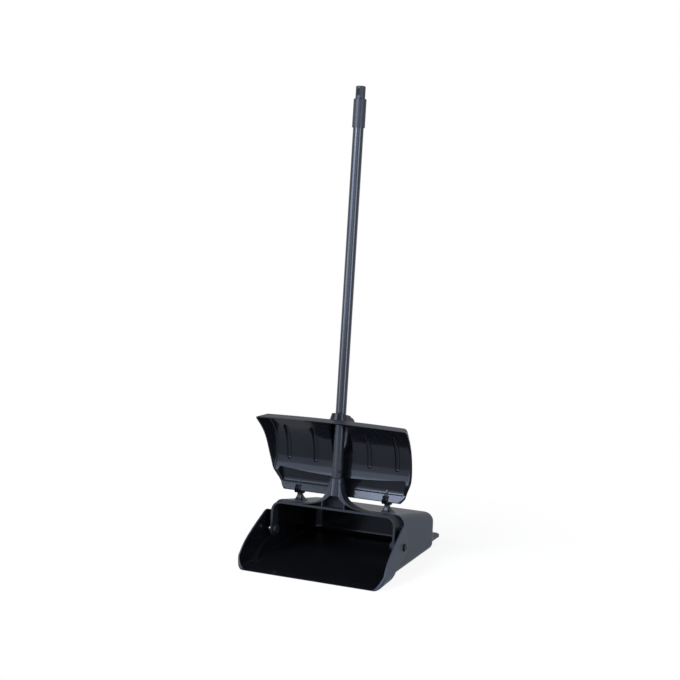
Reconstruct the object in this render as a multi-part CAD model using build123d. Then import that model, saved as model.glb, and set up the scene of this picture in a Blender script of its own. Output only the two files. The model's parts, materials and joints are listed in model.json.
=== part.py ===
"""Upright dustpan with a tilting bin, a pole handle and a lid that the handle opens and closes.

Millimetres. +X is to the right, -Y is towards the open mouth, +Z is up. The origin is on the floor,
in the middle plane, directly under the axis that the handle turns on.
"""
import os
from math import cos, radians, sin

from build123d import *

# Pan
wall = 2.8
lip_y = -117.0
rim_y = 21.0
rear_y = 192.5
rear_draft = 5.0
roof_z = 110.0
roof_fall = 0.23
bin_half = 142.0
bin_corner_r = 27.0
roof_edge_r = 19.5
floor_edge_r = 13.0
scoop_half = 158.5
scoop_taper = 0.035
scoop_lean = 0.038
scoop_edge_r = 18.0
lip_corner_r = 20.0
lip_thick = 0.9
lip_ramp = 17.0
ledge_half = 136.5
ledge_out = 40.0
ledge_z = 12.0
ledge_thick = 4.0
ledge_corner_r = 14.0
wing_front = [(-113.5, 4.5), (-110.0, 13.0), (-104.5, 21.0), (-97.0, 30.5), (-88.5, 40.0), (-77.5, 49.5),
              (-61.5, 60.0), (-43.5, 70.5), (-24.5, 80.5), (-10.5, 87.6)]
wing_tip = [(-4.0, 90.3), (2.0, 91.1), (8.0, 89.6)]
wing_crease = [(14.5, 79.5), (19.0, 66.0), (20.2, 53.0), (13.8, 40.5), (0.4, 33.6), (-21.0, 28.2),
               (-39.0, 20.2), (-55.0, 9.0)]
crease_r = 3.0
cheek_front = [(-70.0, 0.0), (21.0, 88.0), (8.0, 79.0), (-40.0, 40.0)]

# Handle pivot and lid hinge
pivot_z = 52.5
bush_r = 5.5
bush_bore_r = 3.05
run_gap = 0.05
screw_r = 3.0
head_r = 7.5
hinge_y = 44.0
hinge_z = 130.0
hinge_x = 96.0
hinge_pin_r = 2.0
ear_thick = 2.6
ear_r = 5.4
knuckle_wide = 6.0
knuckle_gap = 0.3
knuckle_r = 5.4
stand_floor_z = 123.6
stand_flare = [(101.71, 28.0, 34.0, 8.0), (108.21, 19.0, 21.0, 5.0), (114.0, 12.5, 12.0, 3.0)]

# Yoke, pole and end cap, in the handle's own frame: its pivot is the origin and the pole runs up Z
lean = 8.0
strip_half = 12.0
leg_out = 135.6
leg_thick = 4.6
leg_low = -13.0
boss_r = 9.0
boss_long = 6.0
rail_z = 59.0
rail_thick = 4.2
rail_corner_r = 21.0
taper_z = 70.0
stem_z = 100.0
stem_half = 9.2
recess_depth = 19.0
recess_rib_x = 24.0
recess_rib_thick = 2.4
neck_low = 84.0
neck_foot_r = 16.5
neck_top = 118.7
neck_r = 13.0
spigot_r = 8.95
spigot_long = 42.0
pole_r = 10.5
pole_wall = 1.5
pole_top = 856.0
pole_screw_z = 132.0
pole_screw_turn = 50.0
sleeve_low = 803.7
sleeve_top = 859.4
sleeve_r = 12.6
tip_top = 884.0
tip_r = 9.5
slot_wide = 6.5
slot_tall = 15.0
arm_top = [(12.9, 110.0), (13.9, 100.0), (16.6, 90.5), (21.5, 81.0), (28.5, 73.4), (40.0, 67.0),
           (57.0, 62.0), (78.0, 59.2)]
arm_under = [(6.6, 85.0), (12.0, 79.6), (20.0, 72.6), (28.0, 68.4), (42.0, 63.8), (57.0, 60.6), (70.0, 59.0)]

# Lid, drawn open as it stands at rest. The hood's back is round about an axis along X
skin = 2.5
hood_y = -50.0
hood_z = 207.0
hood_r = 92.0
hood_turn = 37.0
hood_foot_turn = -25.7
hood_edge_r = 8.5
lid_free = [(-22.8, 290.0), (-14.6, 280.0), (1.8, 260.0), (13.8, 240.0), (21.4, 220.0), (26.7, 200.0),
            (30.6, 182.0), (32.4, 168.0), (36.0, 155.5), (38.5, 148.0), (40.0, 143.0)]
lid_lip = (32.5, 129.5)
lid_sides = [(124.5, 149.0), (140.0, 155.0), (152.0, 158.8), (165.0, 163.8), (180.0, 166.5), (200.0, 167.2),
             (230.0, 165.6), (260.0, 161.2), (286.0, 155.6)]
lid_splay = 0.42
lid_rise = 0.06
lid_top = 289.3
lid_top_r = 9.0
lid_foot_r = 12.0
lip_half = 137.0
lip_end_long = 28.0
lip_end_deep = 8.0
tray_half = 143.0
tray_foot_half = 130.0
tray_foot_z = 138.0
tray_end_z = 175.0
tray_mid_z = 167.0
tray_corner_r = 6.0
tray_back = [(40.5, 187.0), (43.3, 163.0), (43.6, 151.0), (42.4, 146.0), (39.5, 142.0), (34.0, 139.0)]
groove_low = -8.0
groove_high = 35.0
groove_r = 5.5
groove_lift = 2.0
groove_x = [59.0, 118.5]
blister_half = 25.0
blister_front = -5.0
blister_rear = 64.0
blister_top = 286.0
blister_edge_r = 10.0
blister_back = [(38.0, 203.0), (48.0, 217.0), (57.5, 238.0), (63.5, 262.0)]
slot_y = 36.0
slot_z = 293.0
slot_lean = 18.0
slot_half = 12.4
slot_front = -21.4
slot_back = 20.8
collar_wall = 2.3
collar_foot_z = 278.0
collar_foot_half = 20.5
collar_foot_front = 4.0
collar_foot_back = 60.0


def side_block(points, half):
    """A block with the given side view of (y, z) points, as wide as half on each side of the middle."""
    return side_extrude(Polygon(*points, align=None), half)


def side_extrude(face, half):
    """A side view drawn in (y, z), carried to half on each side of the middle."""
    return extrude(Plane.YZ * face, amount=half, both=True)


def front_plane(y):
    """The plane across the dustpan at y, drawn in (x, z)."""
    return Plane(origin=(0, y, 0), x_dir=(1, 0, 0), z_dir=(0, -1, 0))


def both_sides(right):
    """A piece on the right side, and its mirror image on the left."""
    return right + mirror(right, about=Plane.YZ)


def mirrored(points):
    return [(-x, z) for x, z in reversed(points)]


def rod(radius, x_low, x_high, y, z):
    """A round bar along X."""
    bar = Cylinder(radius, x_high - x_low, align=(Align.CENTER, Align.CENTER, Align.MIN))
    return Pos(x_low, y, z) * Rot(0, 90, 0) * bar


def post(radius, z_low, z_high):
    """A round bar along Z."""
    bar = Cylinder(radius, z_high - z_low, align=(Align.CENTER, Align.CENTER, Align.MIN))
    return Pos(0, 0, z_low) * bar


def inset_points(points, distance):
    """The points moved square to the line that runs through them, to its right."""
    ends = [points[0], *points, points[-1]]
    moved_points = []
    for before, point, after in zip(ends, points, ends[2:]):
        along = Vector(after[0] - before[0], after[1] - before[1]).normalized()
        moved_points.append((point[0] + along.Y * distance, point[1] - along.X * distance))
    return moved_points


def roof_at(y):
    """Height of the bin's roof at y."""
    return roof_z - roof_fall * (y - rim_y)


def rounded_bin(points, half, inset):
    """The bin's block with its rear corners, roof edges and floor edges rounded."""
    block = side_block(points, half)
    uprights = block.faces().sort_by(Axis.Y)[-1].edges().filter_by(Axis.X, reverse=True)
    block = fillet(uprights, bin_corner_r - inset)
    front = min(y for y, z in points)
    roof = [f for f in block.faces() if f.normal_at().Z > 0.95][0]
    roof_front = roof.edges().filter_by(Axis.X).sort_by(Axis.Y)[0]
    roof_sides = [e for e in roof.edges() if e.center().Y > roof_front.center().Y + 1]
    block = fillet(roof_sides, roof_edge_r - inset)
    floor = block.faces().sort_by(Axis.Z)[0]
    return fillet([e for e in floor.edges() if e.center().Y > front + 1], floor_edge_r - inset)


def bin_outside():
    rear = [(rear_y - rear_draft, 0), (rear_y, roof_at(rear_y))]
    points = [cheek_front[0], *rear, (rim_y, roof_z), *cheek_front[1:]]
    return rounded_bin(points, bin_half, 0)


def bin_inside():
    """The hollow of the bin, carried forward over the floor to beyond the lip."""
    rear = rear_y - wall
    front = lip_y - 20
    drop = wall * 1.026
    floor = [(front, wall), (rear - rear_draft, wall)]
    roof = [(rear, roof_at(rear) - drop), (front, roof_at(front) - drop)]
    return rounded_bin([*floor, *roof], bin_half - wall, wall)


def open_top():
    """What is taken away above the floor, from the lip to the bin's mouth."""
    front = lip_y - 20
    points = [(front, 30), (rim_y, 30), (rim_y, 240), (front, 240)]
    return side_block(points, bin_half - wall + 0.3)


def scoop_section(y, inset):
    """The scoop cut across at y: flat floor, rounded lower edges and wings that lean in a little."""
    half = scoop_half - scoop_taper * (y - lip_y) - inset
    top = 160.0
    top_half = half - scoop_lean * top
    face = Polygon((-half, inset), (half, inset), (top_half, top), (-top_half, top), align=None)
    face = fillet(face.vertices().group_by(Axis.Y)[0], scoop_edge_r - inset)
    return front_plane(y) * face


def scoop_plan(inset):
    """The scoop seen from above, with its rounded lip corners."""
    half = scoop_half - inset
    front = lip_y + inset
    back = front + 200
    back_half = half - scoop_taper * 200
    face = Polygon((-half, front), (half, front), (back_half, back), (-back_half, back), align=None)
    face = fillet(face.vertices().group_by(Axis.Y)[0], lip_corner_r - inset)
    return extrude(face, amount=200)


def wing_view():
    """Side view of the scoop with its fan-shaped wings."""
    edge = Spline(*wing_front, *wing_tip)
    crease = Spline(wing_tip[-1], *wing_crease)
    lip = [(-68, -2), (lip_y, -2), (lip_y, wall), (lip_y + wall, wall)]
    foot = Polyline(wing_crease[-1], *lip, wing_front[0])
    return make_face([edge, crease, foot])


def scoop_outside():
    block = loft([scoop_section(lip_y - 5, 0), scoop_section(40, 0)])
    block = block & scoop_plan(0) & side_extrude(wing_view(), 200)
    crease = [e for e in block.edges() if abs(e.center().X) > bin_half and e.center().Y > 0]
    return fillet(crease, crease_r)


def scoop_inside():
    """The hollow between the wings, open to the front and above."""
    block = loft([scoop_section(lip_y - 5, wall), scoop_section(40, wall)])
    crease = inset_points([wing_tip[-1], *wing_crease], wall)
    around = [crease[-1], (-67, 2), (-140, 2), (-140, 150), (crease[0][0] - 2, 150), crease[0]]
    view = make_face([Spline(*crease), Polyline(*around)])
    return block & scoop_plan(wall) & side_extrude(view, 200)


def lip_wedge():
    """What is taken off the floor to thin it towards the lip."""
    half = scoop_half - lip_corner_r
    return side_block([(lip_y - 1, lip_thick), (lip_y + lip_ramp, wall), (lip_y - 1, wall + 0.5)], half)


def ledge():
    """The foot plate behind the bin, carried forward past the bin's rounded rear corners."""
    start = rear_y - bin_corner_r - 10
    end = rear_y - rear_draft + ledge_out
    plate = Rectangle(2 * ledge_half, end - start, align=(Align.CENTER, Align.MIN))
    plate = fillet(plate.vertices().group_by(Axis.Y)[-1], ledge_corner_r)
    return extrude(Pos(0, start, ledge_z) * plate, amount=ledge_thick)


def stand_half():
    """Half the width of a lid hinge's two ears and the knuckle between them."""
    return knuckle_wide / 2 + knuckle_gap + ear_thick


def hinge_stand(x):
    """A lid hinge's flared foot on the roof, with two ears for the pin."""
    wide = 2 * stand_half()
    sections = [*stand_flare, (stand_floor_z + 1, wide, 9, 2)]
    foot = loft([Pos(x, hinge_y, z) * RectangleRounded(w, d, r) for z, w, d, r in sections])
    stem = Rectangle(9, hinge_z - stand_floor_z, align=(Align.CENTER, Align.MAX))
    plate = Pos(hinge_y, hinge_z) * (Circle(ear_r) + stem)
    ears = Pos(x, 0, 0) * side_extrude(plate, stand_half())
    room = Box(knuckle_wide + 2 * knuckle_gap, 40, 30, align=(Align.CENTER, Align.CENTER, Align.MIN))
    hole = rod(hinge_pin_r + 0.03, x - 20, x + 20, hinge_y, hinge_z)
    return foot + ears - Pos(x, hinge_y, stand_floor_z) * room - hole


def make_pan():
    shell = bin_outside() + ledge() + scoop_outside() + both_sides(hinge_stand(hinge_x))
    shell = shell - bin_inside() - open_top() - scoop_inside() - lip_wedge()
    hole = rod(bush_r + run_gap, bin_half + 1, scoop_half + 10, 0, pivot_z)
    return shell - both_sides(hole)


def yoke_strip():
    """The flat inverted U, seen from the front."""
    outer = FilletPolyline((leg_out, leg_low), (leg_out, rail_z), (-leg_out, rail_z), (-leg_out, leg_low),
                           radius=rail_corner_r)
    inner_x = leg_out - leg_thick
    inner_z = rail_z - rail_thick
    inner = FilletPolyline((inner_x, leg_low), (inner_x, inner_z), (-inner_x, inner_z), (-inner_x, leg_low),
                           radius=rail_corner_r - leg_thick)
    whole = make_face([outer, Line((-leg_out, leg_low), (leg_out, leg_low))])
    return whole - make_face([inner, Line((-inner_x, leg_low), (inner_x, leg_low))])


def wishbone():
    """The raised middle of the yoke, seen from the front."""
    right = Spline(*arm_top)
    left = Spline(*mirrored(arm_top))
    cap = Line(mirrored(arm_top)[-1], arm_top[0])
    end = (arm_top[-1][0], rail_z - 2)
    foot = Polyline(arm_top[-1], end, (-end[0], end[1]), mirrored(arm_top)[0])
    return make_face([right, foot, left, cap])


def wishbone_recess():
    """The hollow in the front of the wishbone, between its arms and the rail, with two ribs left in it."""
    right = Spline(*arm_under)
    left = Spline(*mirrored(arm_under))
    roof = Line(mirrored(arm_under)[-1], arm_under[0])
    floor = Line(arm_under[-1], mirrored(arm_under)[0])
    ribs = Pos(recess_rib_x, rail_z) * Rectangle(recess_rib_thick, 40)
    return make_face([right, floor, left, roof]) - ribs - Pos(-2 * recess_rib_x, 0) * ribs


def make_yoke():
    body = extrude(front_plane(0) * (yoke_strip() + wishbone()), amount=strip_half, both=True)
    front = [(-stem_half, 130), (-stem_half, stem_z), (-strip_half, taper_z), (-strip_half, -40)]
    body = body & side_block([*front, *mirrored(front)], 200)
    hollow = extrude(front_plane(-strip_half - 1) * wishbone_recess(), amount=-(recess_depth + 1))
    neck = Cone(neck_foot_r, neck_r, neck_top - neck_low, align=(Align.CENTER, Align.CENTER, Align.MIN))
    body = body + Pos(0, 0, neck_low) * neck - hollow + post(spigot_r, neck_top - 5, neck_top + spigot_long)
    feet = body.edges().filter_by(Axis.X).group_by(Axis.Z)[0]
    body = fillet(feet, strip_half - 0.05)
    boss = both_sides(rod(boss_r, leg_out - leg_thick - boss_long, leg_out - 1, 0, 0))
    bore = both_sides(rod(bush_bore_r, leg_out - 9.5, leg_out + 5, 0, 0))
    return body + boss - bore - pole_screw_hole(1.6)


def screw_seat():
    """Where the pole screw enters, pointing inwards through the tube."""
    return Pos(0, 0, pole_screw_z) * Rot(0, 0, pole_screw_turn) * Rot(90, 0, 0)


def pole_screw_hole(radius):
    return screw_seat() * post(radius, 0, 14)


def make_pole():
    tube = post(pole_r, neck_top, pole_top) - post(pole_r - pole_wall, neck_top, pole_top)
    return tube - pole_screw_hole(1.6)


def make_pole_screw():
    shank = post(1.55, 6, pole_r + 0.6)
    head = post(3.2, pole_r + 0.05, pole_r + 1.55)
    head = fillet(head.edges().group_by(Axis.Z)[-1], 1.0)
    cross = Box(3.6, 0.9, 1.2) + Box(0.9, 3.6, 1.2)
    return screw_seat() * (shank + head - Pos(0, 0, pole_r + 1.5) * cross)


def make_end_cap():
    sleeve = post(sleeve_r, sleeve_low, sleeve_top)
    sleeve = fillet(sleeve.edges().group_by(Axis.Z)[-1], 1.6)
    tip = post(tip_r, sleeve_top - 3, tip_top)
    tip = fillet(tip.edges().group_by(Axis.Z)[-1], 2.0)
    bore = post(pole_r + 0.05, sleeve_low, pole_top + 0.1)
    slot = extrude(front_plane(0) * Rot(0, 0, 90) * SlotOverall(slot_tall, slot_wide), amount=30, both=True)
    middle = (sleeve_top + tip_top) / 2 + 0.5
    return sleeve + tip - bore - Pos(0, 0, middle) * slot


def make_bush():
    sleeve = rod(bush_r, leg_out + 0.02, wing_out + 0.6, 0, 0)
    return sleeve - rod(bush_bore_r, leg_out - 1, wing_out + 2, 0, 0)


def make_pivot_screw():
    head_x = wing_out + 0.62
    shank = rod(screw_r, leg_out - 9, head_x + 1, 0, 0)
    head = rod(head_r, head_x, head_x + 3.4, 0, 0)
    head = fillet(head.edges().group_by(Axis.X)[-1], 2.2)
    cross = Box(2.4, 9.0, 1.7) + Box(2.4, 1.7, 9.0)
    return shank + head - Pos(head_x + 3.2, 0, 0) * cross


def make_hinge_pin():
    reach = stand_half()
    pin = rod(hinge_pin_r, hinge_x - reach - 1.0, hinge_x + reach + 0.5, hinge_y, hinge_z)
    head = rod(3.2, hinge_x + reach + 0.02, hinge_x + reach + 1.6, hinge_y, hinge_z)
    return pin + fillet(head.edges().group_by(Axis.X)[-1], 0.8)


def hood_line(grow, low):
    """Side view of the hood's back: round, then straight on past the top."""
    back = CenterArc((hood_y, hood_z), hood_r + grow, low, hood_turn - low)
    return back, Line(back @ 1, back @ 1 + 60 * (back % 1))


def lid_outside_view():
    """Side view of the lid with its free edges, its foot and its lip filled in."""
    back, rise = hood_line(skin, hood_foot_turn)
    lip_under = (lid_lip[0] + 2.0, lid_lip[1] - 2.1)
    behind = [(y + 1.06 * skin, z - 1.0) for y, z in reversed(lid_free[-3:])]
    foot = Polyline(lid_free[-1], lid_lip, lip_under, *behind, back @ 0)
    top = Polyline(rise @ 1, (lid_free[0][0], (rise @ 1).Y), lid_free[0])
    return make_face([Spline(*lid_free), foot, back, rise, top])


def lid_inside_view():
    """Side view of the hollow under the hood, open to the front."""
    back, rise = hood_line(0, hood_foot_turn - 3)
    front = -60
    around = Polyline(rise @ 1, (front, (rise @ 1).Y), (front, (back @ 0).Y), back @ 0)
    return make_face([back, rise, around])


def lid_section(y, inset):
    """The lid cut across at y: crowned top, bulging sides and a narrower rounded foot."""
    side = [(reach - lid_splay * y - inset, z + lid_rise * y) for z, reach in lid_sides]
    side[0] = (side[0][0], side[0][1] + inset)
    side[-1] = (side[-1][0], side[-1][1] - inset)
    other = mirrored(side)
    crown = ThreePointArc(side[-1], (0, lid_top + lid_rise * y - inset), other[0])
    face = make_face([Spline(*side), crown, Spline(*other), Line(other[-1], side[0])])
    face = fillet(face.vertices().group_by(Axis.Y)[-1], lid_top_r - inset)
    face = fillet(face.vertices().group_by(Axis.Y)[0], lid_foot_r - inset)
    return front_plane(y) * face


def hood_rim(block):
    """The edges that run round the hood's back."""
    round_back = block.faces().filter_by(GeomType.CYLINDER)
    flats = block.faces().filter_by(GeomType.PLANE)
    straight_back = [f for f in flats if f.normal_at().Y > 0.5 and f.normal_at().Z > 0.5]
    return [e for f in [*round_back, *straight_back] for e in f.edges() if e.geom_type != GeomType.LINE]


def hood(view, inset):
    """A side view of the hood between the lid's splayed sides, with its back's edges rounded."""
    sides = loft([lid_section(-70, inset), lid_section(110, inset)], ruled=True)
    block = side_extrude(view, 200) & sides
    return fillet(hood_rim(block), hood_edge_r - inset)


def tray_front(grow):
    """The shallow tray below the hood, seen from the front: arched top and rounded upper corners."""
    high = (tray_half + grow, tray_end_z + grow)
    low = (tray_foot_half + grow, tray_foot_z - grow)
    arch = ThreePointArc((-high[0], high[1]), (0, tray_mid_z + grow), high)
    face = make_face([arch, Polyline(high, low, (-low[0], low[1]), (-high[0], high[1]))])
    face = fillet(face.vertices().group_by(Axis.Y)[-1], tray_corner_r + grow)
    return extrude(front_plane(20) * face, amount=60, both=True)


def tray_inside():
    front = 10
    around = Polyline(tray_back[-1], (front, tray_back[-1][1]), (front, tray_back[0][1]), tray_back[0])
    return side_extrude(make_face([Spline(*tray_back), around]), 200) & tray_front(0)


def tray_outside():
    """The wall behind the tray, from just inside the lid's own wall."""
    back = inset_points(tray_back[:-1], -skin)
    front = [(42.0, 143.5), (38.5, 155.0), (36.0, 166.0), (36.0, back[0][1])]
    view = make_face([Spline(*back), Polyline(back[-1], *front, back[0])])
    return side_extrude(view, 200) & tray_front(skin)


def groove(x, radius):
    """A round bar bent along the hood's back, with round ends."""
    bend = hood_r - groove_lift
    ends = []
    for angle in (radians(groove_low), radians(groove_high)):
        centre = (x, hood_y + bend * cos(angle), hood_z + bend * sin(angle))
        ends.append(Plane(origin=centre, x_dir=(1, 0, 0), z_dir=(0, -sin(angle), cos(angle))))
    axis = Axis((0, hood_y, hood_z), (1, 0, 0))
    bar = revolve(ends[0] * Circle(radius), axis=axis, revolution_arc=groove_high - groove_low)
    return bar + ends[0] * Sphere(radius) + ends[1] * Sphere(radius)


def stadium(half, y_front, y_back):
    """A round-ended outline along Y."""
    return Pos(0, (y_front + y_back) / 2) * Rot(0, 0, 90) * SlotOverall(y_back - y_front, 2 * half)


def blister(inset):
    """The bulge behind the hood that the pole goes into."""
    low = blister_back[0][1] - 5
    plan = stadium(blister_half - inset, blister_front + inset, blister_rear - inset)
    block = extrude(Pos(0, 0, low) * plan, amount=blister_top - inset - low)
    block = fillet(block.edges().group_by(Axis.Z)[-1], blister_edge_r - inset)
    curve = inset_points(blister_back, -inset)
    above = Polyline(curve[-1], (90, curve[-1][1]), (90, 320), (-30, 320), (-30, curve[0][1]), curve[0])
    return block & side_extrude(make_face([Spline(*curve), above]), 60)


def slot_plane():
    """The plane of the pole's slot, which faces up and back, as the pole leans in the lid."""
    lean_back = radians(slot_lean)
    return Plane(origin=(0, slot_y, slot_z), x_dir=(1, 0, 0), z_dir=(0, sin(lean_back), cos(lean_back)))


def pole_slot():
    plan = stadium(slot_half, slot_front, slot_back)
    return extrude(slot_plane() * plan, amount=40, both=True)


def collar():
    """The flared rim round the pole's slot, high in front and level with the bulge behind."""
    top = slot_plane() * stadium(slot_half + collar_wall, slot_front - collar_wall, slot_back + collar_wall)
    foot = Pos(0, 0, collar_foot_z) * stadium(collar_foot_half, collar_foot_front, collar_foot_back)
    block = loft([foot, top], ruled=True)
    rim = block.faces().sort_by(Axis((0, 0, 0), slot_plane().z_dir))[-1]
    return fillet(rim.edges(), 1.6)


def knuckle(x):
    """A hinge knuckle on the back of the lid's lip, its web, and a thin rib up the web's front."""
    web = [(38.8, 131), (40.2, 141.5), (44.2, 150), (46, 150), (49.2, 133)]
    view = Polygon(*web, align=None) + Pos(hinge_y, hinge_z) * Circle(knuckle_r)
    rib = Polygon((38.9, 134), (39.2, 143), (43.0, 150), (45, 150), (43, 136), align=None)
    piece = side_extrude(view, knuckle_wide / 2) + side_extrude(rib, 1.1)
    return Pos(x, 0, 0) * (piece - rod(hinge_pin_r + run_gap, -9, 9, hinge_y, hinge_z))


def lip_ends():
    """What rounds off the ends of the lid's lip, seen from above."""
    front = lid_lip[0] - 0.2
    start = (lip_half - lip_end_long, front)
    bend = (lip_half - 0.3 * lip_end_long, front + 0.3 * lip_end_deep)
    end = (lip_half, front + lip_end_deep)
    around = Polyline(end, (200, end[1]), (200, front - 10), (start[0], front - 10), start)
    corner = make_face([ThreePointArc(start, bend, end), around])
    return both_sides(extrude(Pos(0, 0, 115) * corner, amount=28))


def stand_room(x):
    """The notch in the lid's lip that lets it swing past the hinge's stand."""
    return Pos(x, 38, 126) * Box(2 * stand_half() + 1.6, 26, 26)


def make_lid():
    outside = hood(lid_outside_view(), 0) + blister(0) + collar() + tray_outside()
    inside = hood(lid_inside_view(), skin) + blister(skin)
    for x in groove_x:
        outside = outside + both_sides(groove(x, groove_r + skin))
        inside = inside + both_sides(groove(x, groove_r))
    lid = outside - inside - tray_inside() - pole_slot() - lip_ends()
    for x in (hinge_x, -hinge_x):
        lid = lid - stand_room(x) + knuckle(x)
    return lid


wing_out = scoop_half - scoop_taper * (0 - lip_y) - scoop_lean * pivot_z
handle = Pos(0, 0, pivot_z) * Rot(-lean, 0, 0)
nodes = {
    "pan": make_pan(),
    "lid": make_lid(),
    "yoke": handle * make_yoke(),
    "pole": handle * make_pole(),
    "pole_screw": handle * make_pole_screw(),
    "end_cap": handle * make_end_cap(),
    "pivot_bush_right": handle * make_bush(),
    "pivot_bush_left": mirror(handle * make_bush(), about=Plane.YZ),
    "pivot_screw_right": handle * make_pivot_screw(),
    "pivot_screw_left": mirror(handle * make_pivot_screw(), about=Plane.YZ),
    "hinge_pin_right": make_hinge_pin(),
    "hinge_pin_left": mirror(make_hinge_pin(), about=Plane.YZ),
}
os.makedirs("parts", exist_ok=True)
for name, solid in nodes.items():
    export_step(solid, f"parts/{name}.step")
    print(name, len(solid.solids()), round(solid.volume / 1000, 2), "cm3")
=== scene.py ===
# %% [markdown]
# # A black upright dustpan in Blender
# An upright dustpan is a roofed bin with a wide scoop in front, hung in a yoke under a long pole, with a
# lid that the pole opens and closes. Its solid pieces were drawn beforehand and are loaded here as they
# are, in metres. This lesson gives them their finishes, adds a few small plates at the hinges, sets up a
# small studio and puts the camera where the photographer stood.

# %% Load the solid pieces
import json
import math

import bmesh
import bpy
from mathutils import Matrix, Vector


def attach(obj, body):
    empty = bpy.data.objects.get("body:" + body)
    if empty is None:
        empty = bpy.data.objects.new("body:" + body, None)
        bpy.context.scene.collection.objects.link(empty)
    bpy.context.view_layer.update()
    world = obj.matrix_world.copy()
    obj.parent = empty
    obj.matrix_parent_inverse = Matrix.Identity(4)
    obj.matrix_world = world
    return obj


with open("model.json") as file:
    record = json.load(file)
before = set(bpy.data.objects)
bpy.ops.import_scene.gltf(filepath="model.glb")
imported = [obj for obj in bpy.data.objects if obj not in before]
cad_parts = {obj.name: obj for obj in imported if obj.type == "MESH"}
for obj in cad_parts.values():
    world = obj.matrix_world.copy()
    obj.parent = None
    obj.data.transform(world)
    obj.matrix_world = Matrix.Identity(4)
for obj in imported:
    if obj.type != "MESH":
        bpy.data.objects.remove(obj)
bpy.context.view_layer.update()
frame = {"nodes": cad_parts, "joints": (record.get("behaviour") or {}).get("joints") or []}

nodes = frame["nodes"]
print("pieces:", ", ".join(sorted(nodes)))


# %% [markdown]
# Colours are written as the hex values that a colour picker shows. Blender's shaders work with linear
# light, so one function turns the first into the second. Without it every dark plastic would come out
# grey.

# %% Colours
def linear(code):
    """Linear red, green, blue and alpha of an sRGB hex colour."""
    parts = [int(code[i:i + 2], 16) / 255 for i in (1, 3, 5)]
    return [p / 12.92 if p <= 0.04045 else ((p + 0.055) / 1.055) ** 2.4 for p in parts] + [1.0]


print("mid grey is", [round(v, 3) for v in linear("#808080")])


# %% [markdown]
# Every finish is a small tree of shader nodes. It could be built by hand in the shader editor. In a
# script, one function that adds a node, sets it up and fills each input with a plain value or with
# another node keeps the trees short enough to read. A node has sockets for all its settings, and those
# that the chosen setting doesn't use are switched off, so the function looks only at the others.

# %% A function that adds a node
def add(tree, kind, settings=None, **inputs):
    """A new node. Inputs go by name, with _ for a space, or by place, as i0 and i1, where names repeat.

    A node that is given as an input stands for the first of its outputs that is in use.
    """
    node = tree.nodes.new(kind)
    for name, value in (settings or {}).items():
        setattr(node, name, value)
    sockets = {}
    for place, socket in enumerate(socket for socket in node.inputs if socket.enabled):
        sockets["i" + str(place)] = socket
        sockets[socket.name.replace(" ", "_")] = socket
    for name, value in inputs.items():
        if isinstance(value, bpy.types.Node):
            value = next(output for output in value.outputs if output.enabled)
        if isinstance(value, bpy.types.NodeSocket):
            tree.links.new(value, sockets[name])
        else:
            sockets[name].default_value = value
    return node


# %% [markdown]
# A finish begins as an empty material and ends on one or more pieces. Textures are scaled by how often they
# repeat in a metre, while the pattern on a real surface is known by its size in millimetres, so one small
# function turns the second into the first.

# %% Begin, end and give a material
def start_material(name):
    """An empty material, its tree, and a node that says where each point is and which way it faces."""
    material = bpy.data.materials.new(name)
    material.use_nodes = True
    tree = material.node_tree
    tree.nodes.clear()
    return material, tree, add(tree, "ShaderNodeTexCoord")


def finish_material(tree, shader):
    add(tree, "ShaderNodeOutputMaterial", Surface=shader)


def give(material, *names):
    """Puts a material on solid pieces."""
    for name in names:
        nodes[name].data.materials.clear()
        nodes[name].data.materials.append(material)
    print(material.name, "on", ", ".join(names))


def per_metre(size_mm):
    """Texture scale at which a pattern repeats about every size_mm."""
    return 1000 / size_mm


print("a 2 mm pattern has scale", per_metre(2))


# %% [markdown]
# Black plastic is rarely neutral. Under daylight lamps it takes a slightly blue sheen, so the finishes
# share one cool tint for what they mirror.

# %% The sheen's tint
cool_sheen = linear("#dfeaff")
print("sheen tint", [round(v, 2) for v in cool_sheen[:3]])


# %% [markdown]
# The pan comes from one mould. Its outer half was grained and its inner half polished, so that dust slides
# off. The small inserts that form the hinge stands were polished too. Two materials would need the faces
# sorted by hand. Instead one material asks at each point whether the surface faces the middle of the bin, or
# lies close to a hinge. The height of the hinges and their place along the pan come from the lid's joint.

# %% Where the pan is polished
joint_place = {joint["name"]: joint["pos_m"] for joint in frame["joints"]}
hinge_x = 0.096
hinge_y, hinge_z = joint_place["lid_hinge"][1:]
hinge_middle = (hinge_x, hinge_y, hinge_z)
stand_reach = 0.025
bin_middle = (0, -0.02, 0.05)
bin_rear = 0.19
roof_top = 0.1075


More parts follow.
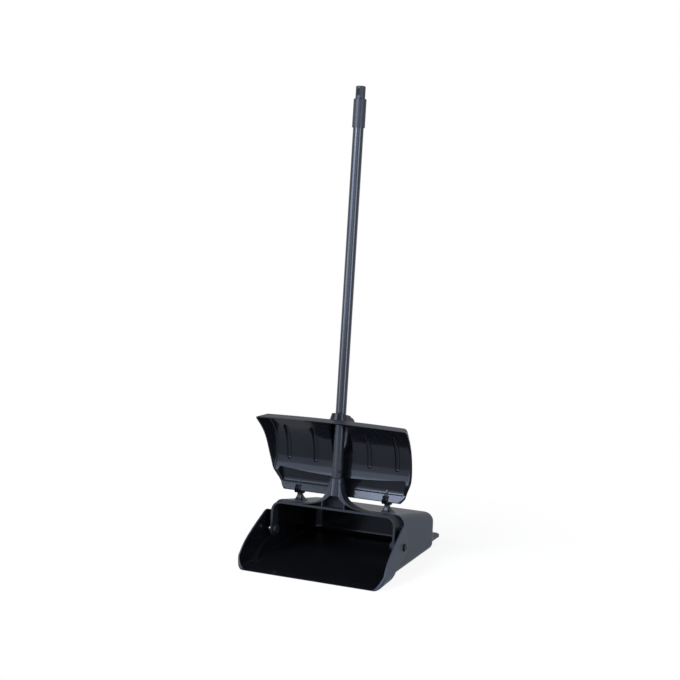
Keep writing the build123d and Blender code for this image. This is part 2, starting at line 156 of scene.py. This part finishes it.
def pan_masks(tree, where):
    """Masks of the pan's inside and of the hinge stands."""
    place = where.outputs["Object"]
    to_middle = add(tree, "ShaderNodeVectorMath", {"operation": "SUBTRACT"}, i0=bin_middle, i1=place)
    facing = add(tree, "ShaderNodeVectorMath", {"operation": "DOT_PRODUCT"}, i0=to_middle,
                 i1=where.outputs["Normal"])
    inward = add(tree, "ShaderNodeMath", {"operation": "GREATER_THAN"}, i0=facing, i1=0.0)
    # The foot ledge behind the bin and the hinge stands on its roof face the middle too, but lie outside.
    part = add(tree, "ShaderNodeSeparateXYZ", i0=place)
    before_rear = add(tree, "ShaderNodeMath", {"operation": "LESS_THAN"}, i0=part.outputs["Y"], i1=bin_rear)
    below_roof = add(tree, "ShaderNodeMath", {"operation": "LESS_THAN"}, i0=part.outputs["Z"], i1=roof_top)
    within = add(tree, "ShaderNodeMath", {"operation": "MULTIPLY"}, i0=before_rear, i1=below_roof)
    inside = add(tree, "ShaderNodeMath", {"operation": "MULTIPLY"}, i0=inward, i1=within)
    # Absolute values fold the left side onto the right, so one distance finds both stands.
    folded = add(tree, "ShaderNodeVectorMath", {"operation": "ABSOLUTE"}, i0=place)
    from_pin = add(tree, "ShaderNodeVectorMath", {"operation": "DISTANCE"}, i0=folded, i1=hinge_middle)
    stand = add(tree, "ShaderNodeMath", {"operation": "LESS_THAN"}, i0=from_pin, i1=stand_reach)
    return inside, stand


print("middle of the right hinge", hinge_middle)


# %% [markdown]
# The plastic is black polypropylene. The outer half of its mould was spark-eroded, which leaves a fine
# pebbled grain that scatters light, so the black looks charcoal grey. The polished inside and the hinge
# stands look almost black. The pebbles are far too fine to model, so they are a bump, which the polished
# places do without.

# %% Moulded polypropylene
def polypropylene():
    material, tree, where = start_material("polypropylene_moulded")
    place = where.outputs["Object"]
    inside, stand = pan_masks(tree, where)
    polished = add(tree, "ShaderNodeMath", {"operation": "MAXIMUM"}, i0=inside, i1=stand)
    # Pigment spreads a little unevenly as the melt flows into the mould, in clouds of about 60 mm.
    clouds = add(tree, "ShaderNodeTexNoise", Vector=place, Scale=per_metre(60), Detail=3.0)
    charcoal = add(tree, "ShaderNodeMix", {"data_type": "RGBA"}, Factor=clouds, A=linear("#222731"),
                   B=linear("#282e39"))
    colour = add(tree, "ShaderNodeMix", {"data_type": "RGBA"}, Factor=polished, A=charcoal,
                 B=linear("#0b0c0e"))
    outside_rough = add(tree, "ShaderNodeMix", Factor=stand, A=0.5, B=0.22)
    rough = add(tree, "ShaderNodeMix", Factor=inside, A=outside_rough, B=0.14)
    # The grain's pebbles are about 0.4 mm, drawn at 1.6 mm so that they show at this distance.
    grain = add(tree, "ShaderNodeTexVoronoi", {"feature": "SMOOTH_F1"}, Vector=place, Scale=per_metre(1.6))
    depth = add(tree, "ShaderNodeMix", Factor=polished, A=0.25, B=0.0)
    bump = add(tree, "ShaderNodeBump", Strength=depth, Distance=0.0003, Height=grain)
    shader = add(tree, "ShaderNodeBsdfPrincipled", Base_Color=colour, Roughness=rough, IOR=1.49,
                 Specular_IOR_Level=0.2, Specular_Tint=cool_sheen, Normal=bump)
    finish_material(tree, shader)
    return material


give(polypropylene(), "pan")


# %% [markdown]
# The lid's mould was polished on the hollow side and left with a fine grain on the outer side. The hollow
# side is found as on the pan: it faces the hood's axis, which runs from side to side. The knuckles stand in
# notches of the polished part and keep the grain. They are found by a flattened ball round each pin.

# %% Where the lid is polished
hood_axis = (0, -0.05, 0.207)
axis_clearance = 0.004
# 7 mm to each side of a knuckle's middle and 16 mm round its pin.
knuckle_reach = (0.007, 0.016, 0.016)


def lid_masks(tree, where):
    """Masks of what faces the hood's axis and of what is clear of the knuckles."""
    place = where.outputs["Object"]
    to_axis = add(tree, "ShaderNodeVectorMath", {"operation": "SUBTRACT"}, i0=hood_axis, i1=place)
    across = add(tree, "ShaderNodeVectorMath", {"operation": "MULTIPLY"}, i0=to_axis, i1=(0, 1, 1))
    facing = add(tree, "ShaderNodeVectorMath", {"operation": "DOT_PRODUCT"}, i0=across,
                 i1=where.outputs["Normal"])
    # The axis has to lie a few millimetres in front of the surface, or rims that it grazes would count.
    inward = add(tree, "ShaderNodeMath", {"operation": "GREATER_THAN"}, i0=facing, i1=axis_clearance)
    folded = add(tree, "ShaderNodeVectorMath", {"operation": "ABSOLUTE"}, i0=place)
    from_pin = add(tree, "ShaderNodeVectorMath", {"operation": "SUBTRACT"}, i0=folded, i1=hinge_middle)
    in_reaches = add(tree, "ShaderNodeVectorMath", {"operation": "DIVIDE"}, i0=from_pin, i1=knuckle_reach)
    away = add(tree, "ShaderNodeVectorMath", {"operation": "LENGTH"}, i0=in_reaches)
    clear = add(tree, "ShaderNodeMath", {"operation": "GREATER_THAN"}, i0=away, i1=1.0)
    return inward, clear


print("the hood's axis is", round(1000 * (hood_axis[2] - hinge_z)), "mm above the hinge pins")


# %% [markdown]
# The lid is ABS, a plastic that takes a high polish, so the hood mirrors the lamps and the floor. No moulded
# sheet is perfectly flat: it sinks a little as it cools, which makes the mirrored edges wander. A shallow
# wide noise in the bump gives that without a finer mesh.

# %% ABS, polished in the hollow
def abs_plastic():
    material, tree, where = start_material("abs_polished")
    place = where.outputs["Object"]
    inward, clear = lid_masks(tree, where)
    hollow = add(tree, "ShaderNodeMath", {"operation": "MULTIPLY"}, i0=inward, i1=clear)
    # Sink marks are some 30 mm apart and a few hundredths of a millimetre deep.
    sink = add(tree, "ShaderNodeTexNoise", Vector=place, Scale=per_metre(30), Detail=1.0)
    bump = add(tree, "ShaderNodeBump", Strength=0.35, Distance=0.0004, Height=sink)
    # Hands leave a faint haze on the polish, in clouds of about 45 mm.
    haze = add(tree, "ShaderNodeTexNoise", Vector=place, Scale=per_metre(45), Detail=4.0)
    gloss = add(tree, "ShaderNodeMapRange", Value=haze, To_Min=0.08, To_Max=0.15)
    rough = add(tree, "ShaderNodeMix", Factor=hollow, A=0.48, B=gloss)
    black = add(tree, "ShaderNodeMix", {"data_type": "RGBA"}, Factor=haze, A=linear("#0b0c0f"),
                B=linear("#101216"))
    # Scattered light makes the grain look paler. The knuckles keep the polished black as painted shade, for
    # they sit in shade.
    pale = add(tree, "ShaderNodeMath", {"operation": "GREATER_THAN"}, i0=clear, i1=inward)
    tone = add(tree, "ShaderNodeMix", {"data_type": "RGBA"}, Factor=pale, A=black, B=linear("#1b1e24"))
    shader = add(tree, "ShaderNodeBsdfPrincipled", Base_Color=tone, Roughness=rough, IOR=1.54,
                 Specular_IOR_Level=0.15, Specular_Tint=cool_sheen, Normal=bump)
    finish_material(tree, shader)
    return material


give(abs_plastic(), "lid")


# %% [markdown]
# Each hinge stand ends in two ears that hold the pin, and beside them the lid has two round webs that back up
# its lip where it is notched. Small inserts in the moulds form both, left as the spark made them, so they are
# dull. Their black is kept darker than the grain elsewhere as painted shade, for the hinges sit in shade. The
# ears are of the pan's plastic and the webs of the lid's, so the same finish is made twice.

# %% Plastic straight from the spark, in painted shade
def spark_eroded(name):
    material, tree, where = start_material(name)
    # Spark pits are about 0.1 mm wide, drawn at 1 mm so that they show.
    pits = add(tree, "ShaderNodeTexVoronoi", {"feature": "SMOOTH_F1"}, Vector=where.outputs["Object"],
               Scale=per_metre(1))
    bump = add(tree, "ShaderNodeBump", Strength=0.3, Distance=0.0002, Height=pits)
    # The near-black tone is painted shade of the hinges.
    tone = add(tree, "ShaderNodeMix", {"data_type": "RGBA"}, Factor=pits, A=linear("#08090b"),
               B=linear("#0e0f12"))
    shader = add(tree, "ShaderNodeBsdfPrincipled", Base_Color=tone, Roughness=0.6, IOR=1.5,
                 Specular_IOR_Level=0.08, Specular_Tint=cool_sheen, Normal=bump)
    finish_material(tree, shader)
    return material


ear_finish = spark_eroded("polypropylene_spark_eroded")
web_finish = spark_eroded("abs_spark_eroded")
print("for the hinges:", ear_finish.name, "and", web_finish.name)


# %% [markdown]
# Ears and webs are all flat plates with rounded rims, so one function makes them. It draws an outline on both
# faces, joins them by a band of quads and bevels the rims. A boolean of discs and wedges would give the same
# forms with a less tidy mesh.

# %% A plate with rounded rims
def plate(name, outline, faces_x, material, body):
    """A piece between two planes across the dustpan. The outline is a list of y and z."""
    rim_radius = 0.0005
    shape = bmesh.new()
    sides = [[shape.verts.new((x, y, z)) for y, z in outline] for x in faces_x]
    faces = [shape.faces.new(side) for side in sides]
    for i in range(len(outline)):
        shape.faces.new((sides[0][i - 1], sides[0][i], sides[1][i], sides[1][i - 1]))
    bmesh.ops.recalc_face_normals(shape, faces=shape.faces)
    rims = [edge for face in faces for edge in face.edges]
    bmesh.ops.bevel(shape, geom=rims, offset=rim_radius, segments=3, profile=0.5, affect="EDGES")
    mesh = bpy.data.meshes.new(name)
    shape.to_mesh(mesh)
    shape.free()
    mesh.shade_smooth()
    mesh.set_sharp_from_angle(angle=math.radians(40))
    mesh.materials.append(material)
    piece = bpy.data.objects.new(name, mesh)
    bpy.context.collection.objects.link(piece)
    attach(piece, body)
    print(name, len(mesh.polygons), "faces")


def arc(radius, start, end, steps):
    """Points round the hinge pin, from start to end in degrees above the rear."""
    turns = [math.radians(start + (end - start) * step / steps) for step in range(steps + 1)]
    return [(hinge_y + radius * math.cos(t), hinge_z + radius * math.sin(t)) for t in turns]


# %% [markdown]
# The solid model has narrower ears and no webs. Seen from the side, an ear is round at the top and narrows
# into its stand below the pin, and a web is a whole disc. The lid's knuckle between the ears is 6 mm wide,
# the notch around them 13.4 mm, and a pin's head ends 7.5 mm out, which leaves each plate its place.

# %% Hinge ears and knuckle webs
ear_radius = 0.0082
ear_turn = 137
foot_half = 0.0046
foot_drop = 0.0085
ear_outline = ([(hinge_y - foot_half, hinge_z - foot_drop)]
               + arc(ear_radius, 90 + ear_turn, 90 - ear_turn, 28)
               + [(hinge_y + foot_half, hinge_z - foot_drop)])
web_radius = 0.0096
web_outline = arc(web_radius, 0, 350, 35)
# How far each plate's faces lie from the middle of its hinge.
ear_faces = (0.0032, 0.0060)
web_faces = (0.0077, 0.0090)
for side, middle in (("right", hinge_x), ("left", -hinge_x)):
    for end, sign in (("a", 1), ("b", -1)):
        ear_x = sorted(middle + sign * face for face in ear_faces)
        plate("hinge_ear_" + side + "_" + end, ear_outline, ear_x, ear_finish, "pan")
        web_x = sorted(middle + sign * face for face in web_faces)
        plate("knuckle_web_" + side + "_" + end, web_outline, web_x, web_finish, "lid")


# %% [markdown]
# The faces of the yoke are half glossy. The hollow between its arms, the narrow sides that slid along the
# mould and the round bosses at the pivot were never polished, so these places are dull. They and the neck's
# top rim, which lies in the shade of the tube's end, are also painted darker as painted shade. The yoke
# stands square to the pole, which leans back, so they are found by how far they lie up the pole or ahead of
# it, and by how squarely they look forward.

# %% Where the yoke is dull and painted in shade
lean = math.radians(8)
forward = (0, -math.cos(lean), math.sin(lean))
upward = (0, math.sin(lean), math.cos(lean))
pivot_height = joint_place["handle_pivot"][2]
hollow_ahead = 0.008 + pivot_height * math.sin(lean)
rim_up = 0.1168 + pivot_height * math.cos(lean)
neck_foot = 0.13
boss_reach = 0.0097
# Cosines of the angle to straight forward.
front_cosine = 0.6
side_cosine = 0.5


def yoke_dull_and_shade_mask(tree, where):
    """Mask of the yoke's dull places, which are also painted darker as shade."""
    place, normal = where.outputs["Object"], where.outputs["Normal"]
    # The hollow's floor looks forward and lies less than 8 mm ahead of the pole's middle plane.
    ahead = add(tree, "ShaderNodeVectorMath", {"operation": "DOT_PRODUCT"}, i0=place, i1=forward)
    looking = add(tree, "ShaderNodeVectorMath", {"operation": "DOT_PRODUCT"}, i0=normal, i1=forward)
    deep = add(tree, "ShaderNodeMath", {"operation": "LESS_THAN"}, i0=ahead, i1=hollow_ahead)
    front = add(tree, "ShaderNodeMath", {"operation": "GREATER_THAN"}, i0=looking, i1=front_cosine)
    hollow = add(tree, "ShaderNodeMath", {"operation": "MULTIPLY"}, i0=deep, i1=front)
    # The narrow sides of the rail and the legs lie below the neck and look neither forward nor back.
    squarely = add(tree, "ShaderNodeMath", {"operation": "ABSOLUTE"}, i0=looking)
    sideways = add(tree, "ShaderNodeMath", {"operation": "LESS_THAN"}, i0=squarely, i1=side_cosine)
    part = add(tree, "ShaderNodeSeparateXYZ", i0=place)
    low = add(tree, "ShaderNodeMath", {"operation": "LESS_THAN"}, i0=part.outputs["Z"], i1=neck_foot)
    narrow = add(tree, "ShaderNodeMath", {"operation": "MULTIPLY"}, i0=sideways, i1=low)
    # The bosses are 9 mm in radius, round an axis that runs from side to side.
    across = add(tree, "ShaderNodeVectorMath", {"operation": "MULTIPLY"}, i0=place, i1=(0, 1, 1))
    from_pivot = add(tree, "ShaderNodeVectorMath", {"operation": "DISTANCE"}, i0=across,
                     i1=(0, 0, pivot_height))
    boss = add(tree, "ShaderNodeMath", {"operation": "LESS_THAN"}, i0=from_pivot, i1=boss_reach)
    # The rim is 117 mm up the pole from the pivot.
    up_pole = add(tree, "ShaderNodeVectorMath", {"operation": "DOT_PRODUCT"}, i0=place, i1=upward)
    dull = add(tree, "ShaderNodeMath", {"operation": "GREATER_THAN"}, i0=up_pole, i1=rim_up)
    for mask in (hollow, narrow, boss):
        dull = add(tree, "ShaderNodeMath", {"operation": "MAXIMUM"}, i0=dull, i1=mask)
    return dull


print("the pole leans", round(math.degrees(lean)), "degrees back from a pivot", pivot_height, "m up")


# %% [markdown]
# The yoke carries the whole weight, so it is moulded from glass-filled polyamide. The fibres near the skin
# leave it half glossy with a faint speckle. The speckle could be painted as an image. A fine noise does the
# same at any distance and on every face.

# %% Glass-filled polyamide
def polyamide():
    material, tree, where = start_material("polyamide_glass_filled")
    dull = yoke_dull_and_shade_mask(tree, where)
    # Fibres are 0.01 mm thick, drawn as 1.2 mm flecks so that they show at all.
    flecks = add(tree, "ShaderNodeTexNoise", Vector=where.outputs["Object"], Scale=per_metre(1.2), Detail=2.0)
    face = add(tree, "ShaderNodeMix", {"data_type": "RGBA"}, Factor=flecks, A=linear("#101216"),
               B=linear("#1d2026"))
    # The dull places are painted near black: painted shade in the hollow, on the narrow sides, on the bosses
    # and at the rim.
    tone = add(tree, "ShaderNodeMix", {"data_type": "RGBA"}, Factor=dull, A=face, B=linear("#060708"))
    gloss = add(tree, "ShaderNodeMapRange", Value=flecks, To_Min=0.17, To_Max=0.25)
    rough = add(tree, "ShaderNodeMix", Factor=dull, A=gloss, B=0.7)
    bump = add(tree, "ShaderNodeBump", Strength=0.1, Distance=0.0002, Height=flecks)
    shader = add(tree, "ShaderNodeBsdfPrincipled", Base_Color=tone, Roughness=rough, IOR=1.53,
                 Specular_IOR_Level=0.29, Specular_Tint=cool_sheen, Normal=bump)
    finish_material(tree, shader)
    return material


give(polyamide(), "yoke")


# %% [markdown]
# The pole is a steel tube under baked powder coating. Powder melts into a smooth film with a fine orange
# peel, which softens the long streaks of light on the tube without hiding them. Only the film shows, so the
# finish is that of a plastic and not of a metal.

# %% Powder coating
def powder_coating():
    material, tree, where = start_material("steel_powder_coated")
    place = where.outputs["Object"]
    # Orange peel is about 1.5 mm from crest to crest.
    peel = add(tree, "ShaderNodeTexNoise", Vector=place, Scale=per_metre(1.5), Detail=1.0)
    bump = add(tree, "ShaderNodeBump", Strength=0.04, Distance=0.0003, Height=peel)
    # The film's thickness drifts along the tube, in clouds of about 90 mm.
    clouds = add(tree, "ShaderNodeTexNoise", Vector=place, Scale=per_metre(90), Detail=2.0)
    tone = add(tree, "ShaderNodeMix", {"data_type": "RGBA"}, Factor=clouds, A=linear("#16181c"),
               B=linear("#1c1e23"))
    shader = add(tree, "ShaderNodeBsdfPrincipled", Base_Color=tone, Roughness=0.15, IOR=1.5,
                 Specular_IOR_Level=0.42, Specular_Tint=cool_sheen, Normal=bump)
    finish_material(tree, shader)
    return material


give(powder_coating(), "pole")


# %% [markdown]
# The cap on the pole's end is soft polyethylene from a plain turned mould, whose tool marks run round it as
# fine rings. They scatter the light along the pole's length. Rings cut into the mesh would be thousands of
# faces, so a wave texture draws them as a bump.

# %% Polyethylene cap
def polyethylene():
    material, tree, where = start_material("polyethylene_moulded")
    place = where.outputs["Object"]
    # Tool marks are about 0.3 mm apart, drawn at 2.5 mm so that they show. A wave texture repeats 20 times
    # in each full turn of 2 pi.
    ring_scale = per_metre(2.5) * 2 * math.pi / 20
    rings = add(tree, "ShaderNodeTexWave", {"wave_type": "BANDS", "bands_direction": "Z"}, Vector=place,
                Scale=ring_scale, Distortion=0.4)
    bump = add(tree, "ShaderNodeBump", Strength=0.1, Distance=0.0002, Height=rings)
    # The pigment lies in clouds of about 12 mm.
    clouds = add(tree, "ShaderNodeTexNoise", Vector=place, Scale=per_metre(12), Detail=3.0)
    tone = add(tree, "ShaderNodeMix", {"data_type": "RGBA"}, Factor=clouds, A=linear("#1b1d22"),
               B=linear("#22252b"))
    shader = add(tree, "ShaderNodeBsdfPrincipled", Base_Color=tone, Roughness=0.42, IOR=1.51,
                 Specular_IOR_Level=0.3, Specular_Tint=cool_sheen, Normal=bump)
    finish_material(tree, shader)
    return material


give(polyethylene(), "end_cap")


# %% [markdown]
# The hinge pins are turned steel with a bright zinc plating. Zinc grows in tiny crystals, so its mirror is a
# little cloudy. The screws were blackened in hot oil, which leaves a dark skin that still shines on the
# edges. Both are bare metal to the eye, so one function makes them with two pairs of colours.

# %% Plated and blackened steel
def steel(name, dark, pale, rough):
    material, tree, where = start_material(name)
    spread = 0.06
    # Crystal clouds of about 2 mm.
    clouds = add(tree, "ShaderNodeTexNoise", Vector=where.outputs["Object"], Scale=per_metre(2), Detail=3.0)
    tone = add(tree, "ShaderNodeMix", {"data_type": "RGBA"}, Factor=clouds, A=linear(dark), B=linear(pale))
    dull = add(tree, "ShaderNodeMapRange", Value=clouds, To_Min=rough - spread, To_Max=rough + spread)
    shader = add(tree, "ShaderNodeBsdfPrincipled", Base_Color=tone, Metallic=1.0, Roughness=dull)
    finish_material(tree, shader)
    return material


zinc_plated = steel("steel_zinc_plated", "#94979d", "#b2b5bb", 0.28)
give(zinc_plated, "hinge_pin_right", "hinge_pin_left")
blackened = steel("steel_blackened", "#17181a", "#26272a", 0.36)
give(blackened, "pivot_screw_right", "pivot_screw_left", "pole_screw")


# %% [markdown]
# The pivot bushes are blackened too, with a bright metal band just outside each leg. The
# place is found by its distance from the middle plane, which works for both sides at once.

# %% Blackened steel with a bright band
# Distances from the middle plane.
leg_outside = 0.1356
band_fades = 0.1395
band_ends = 0.1425


def bright_banded_steel():
    material, tree, where = start_material("steel_rubbed_bright")
    place = where.outputs["Object"]
    part = add(tree, "ShaderNodeSeparateXYZ", i0=place)
    aside = add(tree, "ShaderNodeMath", {"operation": "ABSOLUTE"}, i0=part.outputs["X"])
    past_leg = add(tree, "ShaderNodeMath", {"operation": "GREATER_THAN"}, i0=aside, i1=leg_outside)
    band_level = add(tree, "ShaderNodeMapRange", {"interpolation_type": "SMOOTHSTEP"}, Value=aside,
                 From_Min=band_fades, From_Max=band_ends, To_Min=1.0, To_Max=0.0)
    bright = add(tree, "ShaderNodeMath", {"operation": "MULTIPLY"}, i0=past_leg, i1=band_level)
    tone = add(tree, "ShaderNodeMix", {"data_type": "RGBA"}, Factor=bright, A=linear("#131416"),
               B=linear("#c4c6ca"))
    # Scratches of about 0.2 mm, drawn at 0.8 mm so that they show.
    scratches = add(tree, "ShaderNodeTexNoise", Vector=place, Scale=per_metre(0.8), Detail=2.0)
    dull = add(tree, "ShaderNodeMapRange", Value=scratches, To_Min=0.3, To_Max=0.42)
    shader = add(tree, "ShaderNodeBsdfPrincipled", Base_Color=tone, Metallic=1.0, Roughness=dull)
    finish_material(tree, shader)
    return material


give(bright_banded_steel(), "pivot_bush_right", "pivot_bush_left")


# %% [markdown]
# The dustpan stands on white paper in front of white. Lit paper alone never comes out quite white, and more
# light on it would wash out the object, so the paper glows by itself where the camera or a mirror sees it.
# Near the object a small share of lit paper is mixed in, which keeps the shadow under the pan.

# %% Paper floor
floor_size = 40
floor_drop = 0.0005
# The lit paper has its full share this far from the origin, and none from shadow_ends on.
shadow_reach = 0.25
shadow_ends = 0.7
glow_near = 0.88


def seen_plainly(tree):
    """A mask that is 1 for what the camera sees, directly or in a mirror, and 0 for light."""
    path = add(tree, "ShaderNodeLightPath")
    mirrored = add(tree, "ShaderNodeMath", {"operation": "MAXIMUM"}, i0=path.outputs["Is Glossy Ray"],
                   i1=path.outputs["Is Transmission Ray"])
    return add(tree, "ShaderNodeMath", {"operation": "MAXIMUM"}, i0=path.outputs["Is Camera Ray"],
               i1=mirrored)


def paper():
    material, tree, where = start_material("paper_white")
    lit = add(tree, "ShaderNodeBsdfDiffuse", Color=linear("#f2f2f2"))
    glow = add(tree, "ShaderNodeEmission", Color=(1, 1, 1, 1), Strength=1.0)
    away = add(tree, "ShaderNodeVectorMath", {"operation": "LENGTH"}, i0=where.outputs["Object"])
    share = add(tree, "ShaderNodeMapRange", {"interpolation_type": "SMOOTHSTEP"}, Value=away,
                From_Min=shadow_reach, From_Max=shadow_ends, To_Min=glow_near, To_Max=1.0)
    level = add(tree, "ShaderNodeMath", {"operation": "MULTIPLY"}, i0=seen_plainly(tree), i1=share)
    finish_material(tree, add(tree, "ShaderNodeMixShader", i0=level, i1=lit, i2=glow))
    return material


bpy.ops.mesh.primitive_plane_add(size=floor_size, location=(0, 0, -floor_drop))
floor = bpy.context.object
floor.name = "studio_floor"
floor.data.materials.append(paper())
print(floor.name, floor_size, "m wide")


# %% [markdown]
# The world stands for the white walls of the studio. To the camera and to mirrors they are plain white. As
# light they are dimmer, because the lamps should do the shaping.

# %% White walls
wall_light = 0.36
world = bpy.data.worlds.new("studio_walls")
bpy.context.scene.world = world
world.use_nodes = True
world.node_tree.nodes.clear()
wall_level = add(world.node_tree, "ShaderNodeMix", Factor=seen_plainly(world.node_tree), A=wall_light, B=1.0)
walls = add(world.node_tree, "ShaderNodeBackground", Color=(1, 1, 1, 1), Strength=wall_level)
add(world.node_tree, "ShaderNodeOutputWorld", Surface=walls)
print(world.name, "light the dustpan at", wall_light, "of white")


# %% [markdown]
# Soft boxes light the dustpan. A stack of three at the front left is mirrored in the lower part of the hood.
# Each is brighter than the one below it, as a large diffuser is towards its lamp, and the polish blurs the
# steps away. One above them is mirrored in the lid's lip. A narrow one further left draws the long streak
# down the pole, one at the right draws a second streak and lights the pan's side, and a weak one beside the
# camera fills the middle of the pole. A lamp's power follows from its size and how bright it should look, so
# the brightness is what is written here, with the direction as seen from the lid.

# %% Soft boxes
lid_middle = Vector((0, 0.03, 0.18))
lamp_tint = linear("#eef3ff")[:3]


def soft_box(name, left, up, away, wide, tall, brightness):
    """left is degrees to the left of straight ahead, up is degrees above the lid, the sizes are metres."""
    turn = math.radians(left)
    rise = math.radians(up)
    towards = Vector((-math.sin(turn) * math.cos(rise), -math.cos(turn) * math.cos(rise), math.sin(rise)))
    lamp = bpy.data.lights.new(name, "AREA")
    lamp.shape = "RECTANGLE"
    lamp.size = wide
    lamp.size_y = tall
    lamp.energy = brightness * math.pi * wide * tall
    lamp.color = lamp_tint
    box = bpy.data.objects.new(name, lamp)
    bpy.context.collection.objects.link(box)
    box.location = lid_middle + towards * away
    box.rotation_euler = (-towards).to_track_quat("-Z", "Y").to_euler()
    box.visible_camera = False
    print(name, round(lamp.energy, 1), "W")


soft_box("front_left_low", left=25, up=6, away=1.8, wide=1.3, tall=0.46, brightness=1.4)
soft_box("front_left_middle", left=25, up=19.3, away=1.8, wide=1.3, tall=0.38, brightness=4.8)
soft_box("front_left_high", left=25, up=29.8, away=1.8, wide=1.3, tall=0.30, brightness=9.2)
soft_box("upper_box", left=19.5, up=45, away=1.7, wide=0.55, tall=0.6, brightness=25)
soft_box("left_box", left=43.5, up=12.5, away=1.9, wide=0.5, tall=0.55, brightness=8)
soft_box("right_box", left=-71, up=16.5, away=2.3, wide=0.95, tall=1.45, brightness=7.6)
soft_box("front_right_box", left=-26, up=22, away=2.4, wide=1.2, tall=0.85, brightness=2.4)


# %% [markdown]
# The camera stands where the photographer stood: 2.9 m away, some 26 degrees to the right of straight ahead
# and looking slightly down. Its lens is long, which keeps the pole's two sides almost parallel. The lens
# could be set by eye. Here it follows from how many of the photograph's pixels it spreads the view over.

# %% Camera
image_size = 680
focal_pixels = 1500.35
camera_place = (1.2550, -2.5512, 0.9432)
degrees_down = 9.90
degrees_left = 25.93
camera_data = bpy.data.cameras.new("photographer")
camera = bpy.data.objects.new("photographer", camera_data)
bpy.context.collection.objects.link(camera)
camera.location = camera_place
camera.rotation_euler = (math.radians(90 - degrees_down), 0, math.radians(degrees_left))
camera_data.sensor_width = 36
camera_data.lens = focal_pixels / image_size * camera_data.sensor_width
bpy.context.scene.camera = camera
bpy.context.scene.view_settings.view_transform = "Standard"
print("lens", round(camera_data.lens, 1), "mm")
